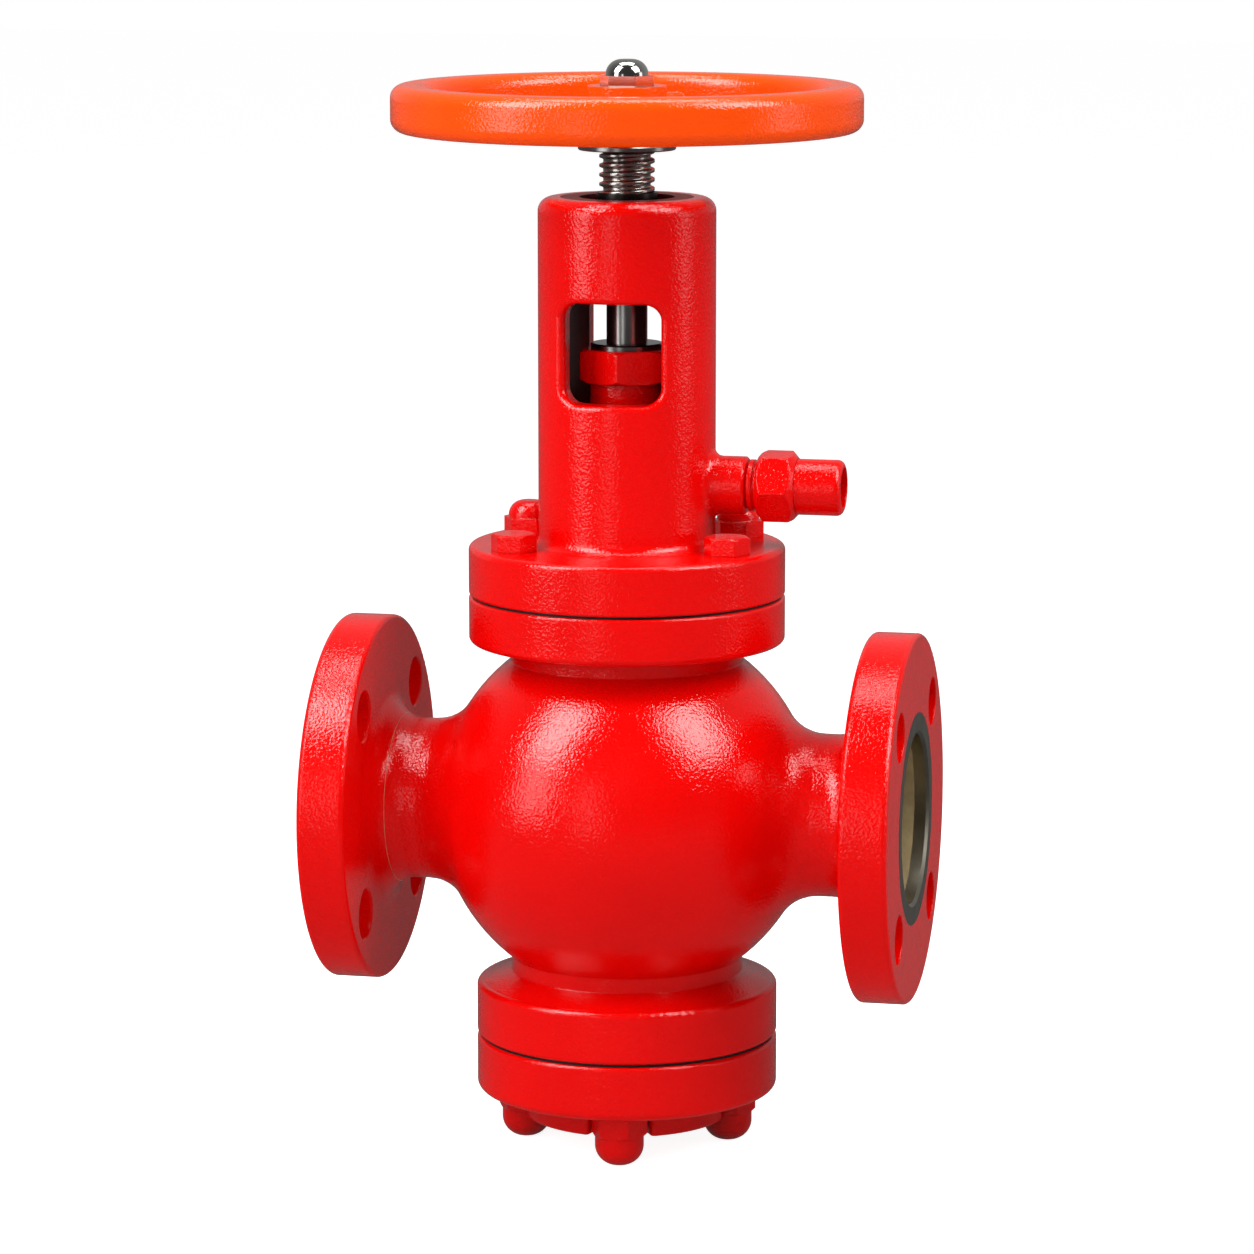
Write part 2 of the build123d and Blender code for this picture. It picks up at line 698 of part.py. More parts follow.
with BuildPart() as cover_stud:
    with Locations((0, 0, body_low_z + tap_depth)):
        Cylinder(
            low_bolt_d / 2,
            body_low_z + tap_depth - 12.0,
            align=(Align.CENTER, Align.CENTER, Align.MAX),
        )
with BuildPart() as cover_cap_nut:
    with BuildSketch(Plane.XY.offset(cover_z[0])) as hexagon:
        RegularPolygon(13.5, 6, major_radius=False)
        fillet(hexagon.vertices(), hex_corner_r)
    extrude(amount=-14)
    with BuildSketch(Plane.XZ):
        with BuildLine():
            Polyline(
                (0, cover_z[0]),
                (15.7, cover_z[0]),
                (15.7, cover_z[0] - 11.8),
                (13.4, cover_z[0] - 14),
                (0, cover_z[0] - 14),
                close=True,
            )
        make_face()
    revolve(axis=Axis.Z, mode=Mode.INTERSECT)
    with Locations((0, 0, cover_z[0] - 14)):
        Cylinder(13.2, cover_z[0] - 14, align=(Align.CENTER, Align.CENTER, Align.MAX))
    fillet(cover_cap_nut.edges().sort_by(Axis.Z)[0], 11.0)
    with Locations((0, 0, cover_z[0])):
        Cylinder(low_bolt_d / 2, cover_z[0] - 12.0, align=(Align.CENTER, Align.CENTER, Align.MAX), mode=Mode.SUBTRACT)
for side, spot in zip(("front", "right", "back", "left"), low_spots):
    for kind, source in (("stud", cover_stud), ("cap_nut", cover_cap_nut)):
        placed = spot * source.part
        placed.label = "cover_" + kind + "_" + side
        export_step(placed, "parts/" + placed.label + ".step")

# --- handwheel, its washer and cap nut -----------------------------------------------------------------
with BuildPart() as handwheel:
    with BuildSketch(Plane.XZ) as rim_shape:
        with Locations(((wheel_od - wheel_rim_w) / 2, (wheel_rim_z[0] + wheel_rim_z[1]) / 2)):
            RectangleRounded(wheel_rim_w, wheel_rim_z[1] - wheel_rim_z[0], 7.0)
    revolve(axis=Axis.Z)
    # four flat spokes into the hub
    for plane in (Plane.YZ, Plane.XZ):
        with BuildSketch(plane):
            with Locations((0, wheel_rim_z[0] + 3.5 + spoke_t / 2)):
                RectangleRounded(spoke_w, spoke_t, spoke_r)
        extrude(amount=(wheel_od - wheel_rim_w) / 2, both=True)
    with Locations((0, 0, wheel_hub_z[0])):
        Cylinder(wheel_hub_d / 2, wheel_hub_z[1] - wheel_hub_z[0], align=(Align.CENTER, Align.CENTER, Align.MIN))
        Cylinder(stem_d / 2, 60, align=(Align.CENTER, Align.CENTER, Align.MIN), mode=Mode.SUBTRACT)
handwheel.part.label = "handwheel"
export_step(handwheel.part, "parts/handwheel.step")

with BuildPart() as wheel_washer:
    with Locations((0, 0, shoulder_z)):
        Cylinder(26.25, 3, align=(Align.CENTER, Align.CENTER, Align.MIN))
        Cylinder(stem_d / 2, 3, align=(Align.CENTER, Align.CENTER, Align.MIN), mode=Mode.SUBTRACT)
    chamfer(wheel_washer.edges().filter_by(GeomType.CIRCLE).filter_by(lambda e: e.radius > 20), 0.6)
wheel_washer.part.label = "wheel_washer"
export_step(wheel_washer.part, "parts/wheel_washer.step")

with BuildPart() as wheel_cap_nut:
    with BuildSketch(Plane.XY.offset(wheel_hub_z[1])) as hexagon:
        RegularPolygon(14.8, 6)
        fillet(hexagon.vertices(), hex_corner_r)
    extrude(amount=5.5)
    with Locations((0, 0, wheel_hub_z[1] + 5.5)):
        Cylinder(11.5, 8.5, align=(Align.CENTER, Align.CENTER, Align.MIN))
    fillet(wheel_cap_nut.edges().sort_by(Axis.Z)[-1], 8.4)
    with Locations((0, 0, wheel_hub_z[1])):
        Cylinder(8.0, 6, align=(Align.CENTER, Align.CENTER, Align.MIN), mode=Mode.SUBTRACT)
wheel_cap_nut.part.label = "wheel_cap_nut"
export_step(wheel_cap_nut.part, "parts/wheel_cap_nut.step")

# --- leak-off union on the side of the yoke --------------------------------------------------------------
with BuildPart() as leakoff_adapter:
    with BuildSketch(Plane.XY):
        with BuildLine():
            Polyline(
                (leak_way_d / 2, leak_boss_x - leak_screw_depth),
                (leak_screw_od / 2, leak_boss_x - leak_screw_depth),
                (leak_screw_od / 2, leak_boss_x),
                (leak_thread_od / 2 - 1.0, leak_boss_x),
                (leak_thread_od / 2 - 1.0, leak_boss_x + 0.7),
                (leak_thread_od / 2 + 0.4, leak_boss_x + 1.4),
                (leak_thread_od / 2 + 0.4, leak_boss_x + 3.7),
                (leak_thread_od / 2 - 0.6, leak_boss_x + 4.0),
                (leak_thread_od / 2 - 0.6, leak_boss_x + 4.8),
                (leak_thread_od / 2, leak_boss_x + 5.1),
                (leak_thread_od / 2, leak_joint_x),
                (leak_way_d / 2, leak_joint_x),
                close=True,
            )
        make_face()
    revolve(axis=Axis.Y)
leakoff = Location((0, 0, leak_z), (0, 0, -90))
placed = leakoff * leakoff_adapter.part
placed.label = "leakoff_adapter"
export_step(placed, "parts/leakoff_adapter.step")

with BuildPart() as leakoff_nut:
    with BuildSketch(Plane.YZ.offset(leak_nut_x[0])) as hexagon:
        with Locations((0, leak_z)):
            RegularPolygon(17.5, 6, major_radius=False, rotation=5)
        fillet(hexagon.vertices(), hex_corner_r)
    extrude(amount=leak_nut_x[1] - leak_nut_x[0])
    with BuildSketch(Plane.XZ):
        with BuildLine():
            Polyline(
                (leak_nut_x[0], leak_z),
                (leak_nut_x[0], leak_z + 16.0),
                (leak_nut_x[0] + 3.8, leak_z + 20.3),
                (leak_nut_x[1] - 4.2, leak_z + 20.3),
                (leak_nut_x[1], leak_z + 15.6),
                (leak_nut_x[1], leak_z),
                close=True,
            )
        make_face()
    revolve(axis=Axis((0, 0, leak_z), (1, 0, 0)), mode=Mode.INTERSECT)
    with Locations(Location((leak_nut_x[0], 0, leak_z), (0, 90, 0))):
        Cylinder(
            leak_thread_od / 2,
            leak_joint_x + leak_shoulder_t - leak_nut_x[0],
            align=(Align.CENTER, Align.CENTER, Align.MIN),
            mode=Mode.SUBTRACT,
        )
        Cylinder(
            leak_waist_od / 2,
            leak_nut_x[1],
            align=(Align.CENTER, Align.CENTER, Align.MIN),
            mode=Mode.SUBTRACT,
        )
leakoff_nut.part.label = "leakoff_nut"
export_step(leakoff_nut.part, "parts/leakoff_nut.step")

with BuildPart() as leakoff_nipple:
    with Locations(Location((0, 0, leak_z), (0, 90, 0))):
        with Locations((0, 0, leak_joint_x)):
            Cylinder(
                leak_thread_od / 2,
                leak_shoulder_t,
                align=(Align.CENTER, Align.CENTER, Align.MIN),
            )
            Cylinder(
                leak_waist_od / 2,
                leak_nut_x[1] - leak_joint_x + 0.5,
                align=(Align.CENTER, Align.CENTER, Align.MIN),
            )
        with Locations((0, 0, leak_nut_x[1])):
            Cylinder(
                leak_pipe_od / 2,
                leak_end_x - leak_nut_x[1],
                align=(Align.CENTER, Align.CENTER, Align.MIN),
            )
    end = leakoff_nipple.edges().filter_by(GeomType.CIRCLE).sort_by(Axis.X)[-1]
    fillet(end, 3.5)
    with Locations(Location((leak_end_x, 0, leak_z), (0, 90, 0))):
        Cylinder(
            leak_bore_d / 2,
            leak_end_x - leak_nut_x[1] - 1,
            align=(Align.CENTER, Align.CENTER, Align.MAX),
            mode=Mode.SUBTRACT,
        )
        Cylinder(
            leak_way_d / 2,
            leak_end_x,
            align=(Align.CENTER, Align.CENTER, Align.MAX),
            mode=Mode.SUBTRACT,
        )
leakoff_nipple.part.label = "leakoff_nipple"
export_step(leakoff_nipple.part, "parts/leakoff_nipple.step")
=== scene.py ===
# %% [markdown]
# # A sleeve blowdown valve, dressed for a studio picture
# The metal parts come ready made, each as a named node in one shared frame, in metres.
# Blender's share is the finish: thick gloss enamel on cast iron, bright turned steel on the
# stem and the joint faces, and the one shape that the frame leaves plain, the stem's thread.
# We load the frame first, because every position below is read from it.

# %% Load the frame
import math

import bmesh
import bpy
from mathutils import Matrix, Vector


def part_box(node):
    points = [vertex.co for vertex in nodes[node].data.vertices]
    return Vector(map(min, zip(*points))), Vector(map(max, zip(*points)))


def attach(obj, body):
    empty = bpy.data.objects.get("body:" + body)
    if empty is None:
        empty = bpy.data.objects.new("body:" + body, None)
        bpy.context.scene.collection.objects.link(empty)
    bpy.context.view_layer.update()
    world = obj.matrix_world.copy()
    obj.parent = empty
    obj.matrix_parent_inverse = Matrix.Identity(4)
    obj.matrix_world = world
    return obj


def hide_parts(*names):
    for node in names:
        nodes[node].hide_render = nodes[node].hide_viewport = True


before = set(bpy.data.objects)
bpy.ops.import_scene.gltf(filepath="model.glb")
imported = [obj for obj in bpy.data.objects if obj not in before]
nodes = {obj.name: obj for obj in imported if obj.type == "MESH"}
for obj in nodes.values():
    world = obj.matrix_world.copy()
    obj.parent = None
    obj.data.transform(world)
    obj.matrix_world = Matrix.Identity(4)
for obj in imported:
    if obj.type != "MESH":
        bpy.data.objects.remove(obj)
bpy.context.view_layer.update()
mm = 0.001

# %% [markdown]
# A few heights are needed again and again: the pipe's axis, which the bare bores are measured
# from, and the middle of the object, where the camera and the lights look.

# %% Read the heights
ring_low, ring_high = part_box("outlet_face_ring")
pipe_z = (ring_low.z + ring_high.z) / 2
face_x = ring_high.x
look_at = Vector((0, 0, pipe_z + 99 * mm))
print("pipe axis at", round(pipe_z / mm, 1), "mm, joint face at", round(face_x / mm, 1), "mm")

# %% [markdown]
# ## Colours and nodes
# Paint makers give colours as they look on a screen, in sRGB, while Cycles adds up light in
# linear numbers. One function turns a hex value into linear. A second one adds a shader node,
# sets its values and joins its inputs, so that each material below reads like a short recipe.
# The rest are what those recipes share: a noise pattern with a real size, two colours blended
# by a pattern, dents from a pattern, how far a point is from an axis, and a comparison.


# %% Helpers for every material
def linear(hex_colour):
    values = [int(hex_colour[i : i + 2], 16) / 255 for i in (1, 3, 5)]
    bent = [v / 12.92 if v <= 0.04045 else ((v + 0.055) / 1.055) ** 2.4 for v in values]
    return (*bent, 1.0)


def add(tree, kind, settings=None, links=None):
    made = tree.nodes.new("ShaderNode" + kind)
    for key, value in (settings or {}).items():
        if isinstance(key, str) and hasattr(made, key):
            setattr(made, key, value)
        else:
            made.inputs[key].default_value = value
    for key, source in (links or {}).items():
        tree.links.new(source, made.inputs[key])
    return made


def new_material(name):
    material = bpy.data.materials.new(name)
    material.use_nodes = True
    material.node_tree.nodes.clear()
    return material, material.node_tree


def finish_with(tree, shader):
    add(tree, "OutputMaterial", links={"Surface": shader.outputs[0]})


def noise(tree, place, size, detail, **more):
    return add(tree, "TexNoise", {"Scale": 1 / size, "Detail": detail, **more}, {"Vector": place})


def two_colours(tree, dark, pale, pattern):
    colours = {"data_type": "RGBA", 6: linear(dark), 7: linear(pale)}
    return add(tree, "Mix", colours, {0: pattern.outputs["Fac"]}).outputs[2]


def dents(tree, pattern, strength, depth, under=None):
    links = {"Height": pattern.outputs["Fac"]}
    if under is not None:
        links["Normal"] = under.outputs[0]
    return add(tree, "Bump", {"Strength": strength, "Distance": depth}, links)


def from_axis(tree, place, axis):
    flat = add(
        tree,
        "VectorMath",
        {"operation": "MULTIPLY", 1: (0, 1, 1) if axis == "X" else (1, 1, 0)},
        {0: place},
    )
    length = add(tree, "VectorMath", {"operation": "LENGTH"}, {0: flat.outputs[0]})
    return length.outputs["Value"]


def compared(tree, kind, value, limit):
    return add(tree, "Math", {"operation": kind, 1: limit}, {0: value}).outputs[0]


print("enamel red in linear light:", [round(v, 3) for v in linear("#DC0402")])

# %% [markdown]
# ## Camera
# A product picture is taken from far away with a long lens, so that parallel edges stay nearly
# parallel. The lens is 140 mm on a 36 mm sensor, 2.65 m from the valve, a little to the right
# of the front and ten degrees above the horizon.

# %% Camera
view_azimuth, view_elevation = math.radians(12.25), math.radians(9.7)
view_distance = 2.654


def outwards(azimuth, elevation):
    flat = math.cos(elevation)
    return Vector(
        (math.sin(azimuth) * flat, -math.cos(azimuth) * flat, math.sin(elevation))
    )


camera = bpy.data.objects.new("camera", bpy.data.cameras.new("camera"))
bpy.context.scene.collection.objects.link(camera)
camera.data.lens = 140.7
camera.data.clip_end = 50
camera.location = look_at + outwards(view_azimuth, view_elevation) * view_distance
camera.rotation_euler = (look_at - camera.location).to_track_quat("-Z", "Y").to_euler()
bpy.context.scene.camera = camera
bpy.context.scene.view_settings.view_transform = "Standard"
print("camera at", [round(v, 3) for v in camera.location])

# %% [markdown]
# ## Light
# Gloss paint shows its lamps. The long pale patches on the round body are two softboxes, one on
# each side of the viewer and about 45 degrees up. Two dimmer strips stand below them, from the
# floor up: upright walls are too steep to mirror the softboxes, so what glints on the column and
# draws the bright lines on the stem is the strips. A wide light overhead draws a thin line along
# every edge that faces up. A broad fill over the viewer's head lights the paint from the front.
# It is hidden from mirror-like reflections, as a cloth scrim would be.

# %% Softboxes, strips and fill
lamp_distance = 2.0  # metres from the valve


def softbox(name, azimuth, elevation, width, height, radiance, mirrored=True):
    data = bpy.data.lights.new(name, "AREA")
    data.shape, data.size, data.size_y = "RECTANGLE", width, height
    data.energy = radiance * math.pi * width * height
    lamp = bpy.data.objects.new(name, data)
    bpy.context.scene.collection.objects.link(lamp)
    way = outwards(math.radians(azimuth), math.radians(elevation))
    lamp.location = look_at + way * lamp_distance
    lamp.rotation_euler = (look_at - lamp.location).to_track_quat("-Z", "Y").to_euler()
    lamp.visible_glossy = mirrored
    print(name, "gives", round(data.energy), "W")
    return lamp


softbox("softbox_left", -50, 46, 0.85, 1.35, 10.0)
softbox("softbox_right", 74, 46, 1.0, 1.2, 9.0)
softbox("strip_left", -47, 11, 0.75, 0.95, 3.2)
softbox("strip_right", 92, 12, 0.6, 0.9, 1.6)
softbox("strip_front", -12, 4, 0.3, 1.1, 1.4)
softbox("top_light", 190, 84, 1.4, 0.75, 6.2)
softbox("scrim_front", -2, 24, 1.6, 1.2, 2.1, mirrored=False)

# %% [markdown]
# ## Backdrop and floor
# The backdrop is white to the camera. To everything else the room is dim in front of the valve
# and a little lighter behind it, so that the paint mirrors the lamps and not a white fog. The
# floor is pale matt paper on a light table: it shows white, throws the lamps' light back up
# under the round body, and is dim in the paint's reflections.

# %% Backdrop and floor
world = bpy.data.worlds.new("studio")
bpy.context.scene.world = world
world.use_nodes = True
sky = world.node_tree
sky.nodes.clear()
seen = add(sky, "LightPath")
backdrop = add(sky, "Background", {"Color": linear("#FFFFFF"), "Strength": 1.0})
ray = add(sky, "TexCoord")
ray_parts = add(sky, "SeparateXYZ", links={0: ray.outputs["Generated"]})
behind = add(
    sky,
    "MapRange",
    {"From Min": -0.3, "From Max": 0.8, "To Min": 0.05, "To Max": 0.3},
    {"Value": ray_parts.outputs["Y"]},
)
room = add(sky, "Background", {"Color": linear("#FFFFFF")}, {"Strength": behind.outputs[0]})
mixed = add(
    sky,
    "MixShader",
    links={0: seen.outputs["Is Camera Ray"], 1: room.outputs[0], 2: backdrop.outputs[0]},
)
add(sky, "OutputWorld", links={"Surface": mixed.outputs[0]})

paper, tree = new_material("matt_paper_floor")
sheet = add(tree, "BsdfDiffuse", {"Color": linear("#C8C8C8")})
lit_from_below = add(tree, "Emission", {"Color": linear("#FFFFFF"), "Strength": 0.91})
white = add(tree, "AddShader", links={0: sheet.outputs[0], 1: lit_from_below.outputs[0]})
dim = add(tree, "Emission", {"Color": linear("#FFFFFF"), "Strength": 0.12})
ray_kind = add(tree, "LightPath")
to_camera = add(
    tree,
    "MixShader",
    links={0: ray_kind.outputs["Is Camera Ray"], 1: sheet.outputs[0], 2: white.outputs[0]},
)
finish_with(
    tree,
    add(
        tree,
        "MixShader",
        links={0: ray_kind.outputs["Is Glossy Ray"], 1: to_camera.outputs[0], 2: dim.outputs[0]},
    ),
)
side = 12.0  # metres
plane = bpy.data.meshes.new("floor")
plane.from_pydata(
    [(-side, -side, 0), (side, -side, 0), (side, side, 0), (-side, side, 0)], [], [(0, 1, 2, 3)]
)
floor = bpy.data.objects.new("floor", plane)
bpy.context.scene.collection.objects.link(floor)
plane.materials.append(paper)
print("floor", 2 * side, "m square, lamps:", len(bpy.data.lights))

# %% [markdown]
# ## Red enamel
# The castings are shot-blasted and sprayed with thick alkyd enamel. It dries glossy but never
# flat: surface tension leaves a skin of shallow dimples, called orange peel, about a
# millimetre and a half across here. The dimples are what breaks the softboxes' edges into
# sparkle. The casting under them has slow swells. Thick paint also rounds every sharp edge,
# which a bevel node stands for: it bends the shading within about a millimetre of an edge, so
# that bolt heads and rims catch a line of light.

# %% Enamel recipe
red_light, red_deep = "#DC0402", "#CE0302"
orange_light, orange_deep = "#EE4A05", "#E24204"
peel_size, peel_depth = 1.4 * mm, 0.3 * mm
swell_size, swell_depth = 14 * mm, 0.4 * mm
cloud_size = 45 * mm
edge_round = 1.3 * mm


def enamel(name, light, deep, bare_and_shade_inside=None):
    material, tree = new_material(name)
    place = add(tree, "TexCoord").outputs["Object"]
    clouds = noise(tree, place, cloud_size, 2.0)
    edges = add(tree, "Bevel", {"samples": 4, "Radius": edge_round})
    dimples = noise(tree, place, peel_size, 1.5, Roughness=0.45)
    peel = dents(tree, dimples, 1.0, peel_depth, edges)
    swells = noise(tree, place, swell_size, 1.0)
    surface = dents(tree, swells, 0.25, swell_depth, peel)
    paint = add(
        tree,
        "BsdfPrincipled",
        {"Roughness": 0.08, "IOR": 1.5},
        {"Base Color": two_colours(tree, deep, light, clouds), "Normal": surface.outputs[0]},
    )
    # The inside finish is bare steel in the body, and painted shade in the yoke's column.
    finish_with(tree, paint if bare_and_shade_inside is None else bare_and_shade_inside(tree, place, paint))
    return material


print("peel dimples per metre:", round(1 / peel_size))

# %% [markdown]
# ## Bare cast steel inside
# The inside of the body is never painted. It is cast and rough-bored steel with a thin brown
# bloom, seen through the outlet. Since the body is one node, the bare part is picked out by
# where a point lies: within the bores' radius of the pipe's axis, or inside the round chamber.


# %% Bare inside of the body
chamber_r, port_r, mouth_r = 91.5 * mm, 40 * mm, 46.4 * mm
mouth_from = 124.5 * mm  # along the pipe, from the stem's axis


def inside_of_body(tree, place, paint):
    middle = add(
        tree, "VectorMath", {"operation": "SUBTRACT", 1: (0, 0, pipe_z)}, {0: place}
    ).outputs[0]
    parts = add(tree, "SeparateXYZ", links={0: middle})
    from_centre = add(tree, "VectorMath", {"operation": "LENGTH"}, {0: middle}).outputs["Value"]
    from_pipe = from_axis(tree, middle, "X")
    along = add(tree, "Math", {"operation": "ABSOLUTE"}, {0: parts.outputs[0]}).outputs[0]
    chamber = compared(tree, "LESS_THAN", from_centre, chamber_r)
    port = compared(tree, "LESS_THAN", from_pipe, port_r)
    mouth = compared(tree, "LESS_THAN", from_pipe, mouth_r)
    outer = compared(tree, "GREATER_THAN", along, mouth_from)
    near_face = add(tree, "Math", {"operation": "MULTIPLY"}, {0: mouth, 1: outer})
    either = add(tree, "Math", {"operation": "MAXIMUM"}, {0: chamber, 1: port})
    bare_part = add(
        tree, "Math", {"operation": "MAXIMUM"}, {0: either.outputs[0], 1: near_face.outputs[0]}
    )
    bloom = noise(tree, place, 9 * mm, 6.0)
    sand = noise(tree, place, 1.4 * mm, 4.0)
    steel = add(
        tree,
        "BsdfPrincipled",
        {"Metallic": 0.3, "Roughness": 0.5},
        {
            "Base Color": two_colours(tree, "#84704C", "#BDA97E", bloom),
            "Normal": dents(tree, sand, 0.6, 0.25 * mm).outputs[0],
        },
    )
    return add(
        tree,
        "MixShader",
        links={0: bare_part.outputs[0], 1: paint.outputs[0], 2: steel.outputs[0]},
    )


# %% [markdown]
# ## Painted shade inside the column
# The wall inside the column's cavity is painted nearly black with dark red patches. This is
# painted shade for the hollow, which the lamps hardly reach through the windows. It lies within
# 36 millimetres of the stem's axis.

# %% Painted shade inside the yoke's column
cavity_r = 35.8 * mm


def painted_shade_in_column(tree, place, paint):
    within = compared(tree, "LESS_THAN", from_axis(tree, place, "Z"), cavity_r)
    patches = noise(tree, place, 7 * mm, 5.0)
    # Painted shade: near-black with dark red patches over the cavity's wall.
    painted_shade = add(
        tree,
        "BsdfPrincipled",
        {"Roughness": 0.42},
        {
            "Base Color": two_colours(tree, "#1A0605", "#6E0A08", patches),
            "Normal": dents(tree, patches, 0.7, 0.3 * mm).outputs[0],
        },
    )
    return add(
        tree, "MixShader", links={0: within, 1: paint.outputs[0], 2: painted_shade.outputs[0]}
    )


# %% The four enamels
red_enamel = enamel("red_alkyd_enamel", red_light, red_deep)
body_enamel = enamel("red_enamel_bare_inside", red_light, red_deep, inside_of_body)
# The yoke's cavity wall gets painted shade, nearly black.
yoke_enamel = enamel("red_enamel_painted_shade_inside", red_light, red_deep, painted_shade_in_column)
orange_enamel = enamel("orange_alkyd_enamel", orange_light, orange_deep)
print("enamels:", len([m for m in bpy.data.materials if "enamel" in m.name]))

# %% [markdown]
# ## Turned and polished steel
# Bare steel parts are turned on a lathe, which leaves fine rings round the axis of turning.
# The joint rings keep their rings as a gasket grip, the stem is polished until only faint ones
# are left. Rings finer than a third of a millimetre don't show at this distance, so they are
# drawn that coarse.


# %% Turned steel recipe
def turned_steel(name, pale, dark, roughness, ring, depth, axis="Z", centre=(0, 0, 0)):
    material, tree = new_material(name)
    place = add(tree, "TexCoord").outputs["Object"]
    middle = add(
        tree, "VectorMath", {"operation": "SUBTRACT", 1: centre}, {0: place}
    ).outputs[0]
    parts = add(tree, "SeparateXYZ", links={0: middle})
    along = parts.outputs[0 if axis == "X" else 2]
    across = add(tree, "CombineXYZ", links={0: from_axis(tree, middle, axis), 1: along})
    rings = noise(tree, across.outputs[0], ring, 2.0)
    stain = noise(tree, place, 12 * mm, 5.0)
    steel = add(
        tree,
        "BsdfPrincipled",
        {"Metallic": 1.0, "Roughness": roughness},
        {
            "Base Color": two_colours(tree, dark, pale, stain),
            "Normal": dents(tree, rings, 0.5, depth).outputs[0],
        },
    )
    finish_with(tree, steel)
    return material


coarse, middling, fine = 0.6 * mm, 0.5 * mm, 0.4 * mm
joint_steel = turned_steel(
    "turned_joint_face", "#A09A8C", "#7A756A", 0.36, middling, 0.05 * mm, "X", (0, 0, pipe_z)
)
stem_steel = turned_steel("polished_stem_steel", "#C4C2BE", "#A09E9A", 0.26, fine, 0.01 * mm)
thread_steel = turned_steel("oiled_thread_steel", "#B6B2AE", "#7E7874", 0.22, fine, 0.01 * mm)
dark_steel = turned_steel("oiled_dark_steel", "#4A4642", "#2C2A28", 0.3, middling, 0.02 * mm)
washer_steel = turned_steel("plated_washer", "#9A9A98", "#7E7E7C", 0.25, middling, 0.01 * mm)
nut_chrome = turned_steel("polished_nut", "#D6D4D0", "#B8B6B2", 0.1, coarse, 0.004 * mm)
bronze = turned_steel("turned_bronze", "#8A6A42", "#5E472C", 0.3, middling, 0.02 * mm)
print("ring marks per metre:", round(1 / coarse), "to", round(1 / fine))

# %% [markdown]
# ## Graphite
# The gaskets and packing are graphite sheet and braid: nearly black, with a soft grey sheen.

# %% Graphite
graphite, tree = new_material("graphite_sheet")
place = add(tree, "TexCoord").outputs["Object"]
flakes = noise(tree, place, 0.8 * mm, 3.0)
soft_grey = two_colours(tree, "#0A0A0A", "#1E1D1C", flakes)
finish_with(tree, add(tree, "BsdfPrincipled", {"Roughness": 0.6}, {"Base Color": soft_grey}))
print("graphite flakes per metre:", round(1 / (0.8 * mm)))

# %% [markdown]
# ## The stem's thread
# A trapezoidal thread is cut with a 30 degree tool: flat crests and roots, slanted sides, here
# 30 mm across with 5 mm from turn to turn. The frame holds a plain cylinder, so the stem is
# built again as one grid wrapped round the axis, whose radius follows a helix in the threaded
# stretch and the plain profile everywhere else.

# %% Stem with its thread
stem_low, stem_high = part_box("stem")
washer_low, washer_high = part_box("wheel_washer")
pitch, crest_r, root_r = 5 * mm, 14.85 * mm, 12.7 * mm
thread_from = pipe_z + 286 * mm
thread_to = washer_low.z
shank_r, end_r = 11 * mm, 8 * mm
head_r = stem_high.x
head_top = stem_low.z + 11.95 * mm
top = stem_high.z
end_from = top - 7 * mm
chamfer = 1 * mm
around = 96  # points in one ring
rows_per_turn = 14


def thread_radius(z, angle):
    turn = ((z - thread_from) / pitch - angle / (2 * math.pi)) % 1.0
    slope = abs(turn - 0.5) * 2
    root_share, side_share = 0.28, 0.44
    share = min(1.0, max(0.0, (slope - root_share) / side_share))
    share = share * share * (3 - 2 * share)
    return root_r + (crest_r - root_r) * share


rows = [(stem_low.z, 0.0, None), (stem_low.z, head_r - chamfer, None)]
rows += [(stem_low.z + chamfer, head_r, None), (head_top - chamfer / 2, head_r, None)]
rows += [(head_top, head_r - chamfer / 2, None), (head_top, shank_r, None)]
rows += [(thread_from - 2 * mm, shank_r, None)]
steps = round((thread_to - thread_from) / (pitch / rows_per_turn))
for i in range(steps + 1):
    z = thread_from + (thread_to - thread_from) * i / steps
    run_in = min(1.0, (z - thread_from) / (3 * mm))
    run_out = min(1.0, (thread_to - z) / (1.2 * mm))
    rows.append((z, None, min(run_in, run_out)))
rows += [(thread_to, shank_r, None), (end_from, shank_r, None), (end_from, end_r, None)]
rows += [(top - chamfer, end_r, None), (top, end_r - chamfer, None), (top, 0.0, None)]

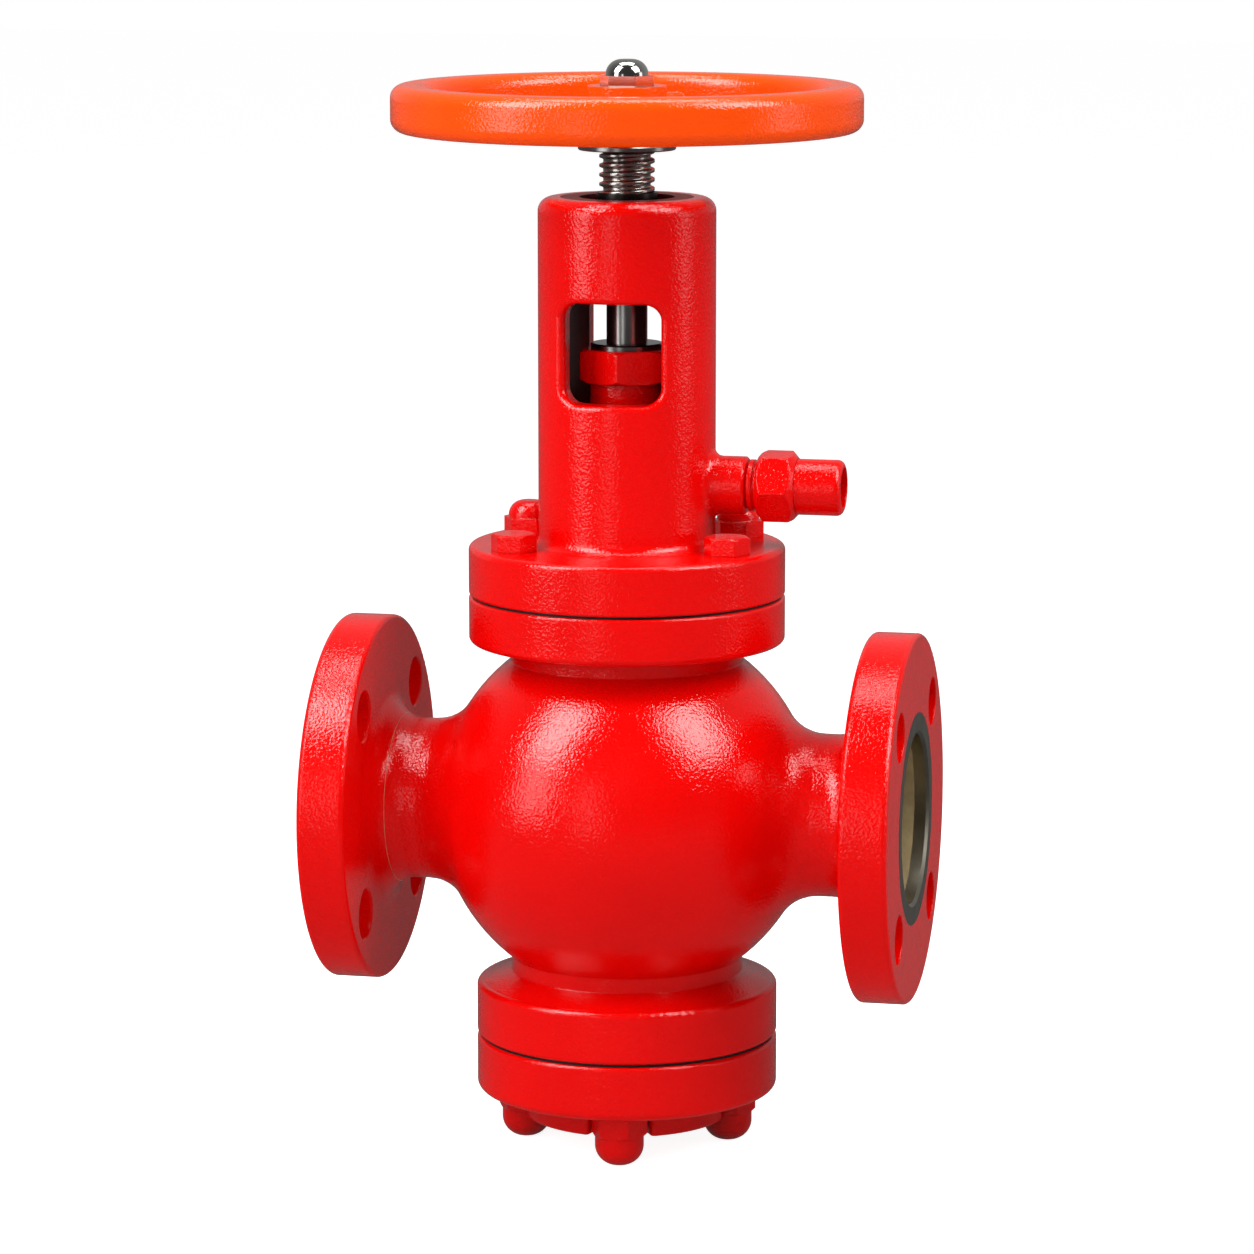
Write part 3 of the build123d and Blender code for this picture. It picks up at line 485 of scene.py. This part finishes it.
mesh = bmesh.new()
rings = []
for z, radius, share in rows:
    if radius == 0.0:
        rings.append([mesh.verts.new((0, 0, z))])
        continue
    ring = []
    base = shank_r if z < (thread_from + thread_to) / 2 else root_r
    for k in range(around):
        angle = 2 * math.pi * k / around
        r = radius
        if share is not None:
            r = base + (thread_radius(z, angle) - base) * share
        ring.append(mesh.verts.new((r * math.cos(angle), r * math.sin(angle), z)))
    rings.append(ring)
for low, high in zip(rings, rings[1:]):
    for k in range(around):
        n = (k + 1) % around
        if len(low) == 1:
            mesh.faces.new((low[0], high[n], high[k]))
        elif len(high) == 1:
            mesh.faces.new((low[k], low[n], high[0]))
        else:
            mesh.faces.new((low[k], low[n], high[n], high[k]))
data = bpy.data.meshes.new("stem_threaded")
mesh.normal_update()
mesh.to_mesh(data)
mesh.free()
stem = bpy.data.objects.new("stem_threaded", data)
bpy.context.scene.collection.objects.link(stem)
data.materials.append(stem_steel)
data.materials.append(thread_steel)
for face in data.polygons:
    face.use_smooth = True
    if thread_from < face.center.z < thread_to:
        face.material_index = 1
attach(stem, "spindle")
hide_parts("stem")
print("thread turns:", round((thread_to - thread_from) / pitch, 1), "faces:", len(data.polygons))

# %% [markdown]
# ## Handing out the finishes
# Each node of the frame now gets its finish. Everything that was on the valve when it was
# sprayed is red: nuts, bolts and the side union too. The wheel was sprayed orange on its own,
# and what was fitted after painting stays bare.

# %% Finish for every node
finishes = {
    "valve_body": body_enamel,
    "yoke": yoke_enamel,
    "handwheel": orange_enamel,
    "inlet_face_ring": joint_steel,
    "outlet_face_ring": joint_steel,
    "valve_sleeve": dark_steel,
    "valve_plug": dark_steel,
    "plug_retainer": dark_steel,
    "stem": stem_steel,
    "stem_nut": dark_steel,
    "bonnet_gasket": graphite,
    "cover_gasket": graphite,
    "packing": graphite,
    "lantern_ring": bronze,
    "gland_follower": washer_steel,
    "wheel_washer": washer_steel,
    "wheel_cap_nut": nut_chrome,
}
for name, node in nodes.items():
    finish = finishes.get(name, stem_steel if "stud" in name else red_enamel)
    node.data.materials.clear()
    node.data.materials.append(finish)
print("painted red:", sum(1 for n in nodes if n not in finishes and "stud" not in n))
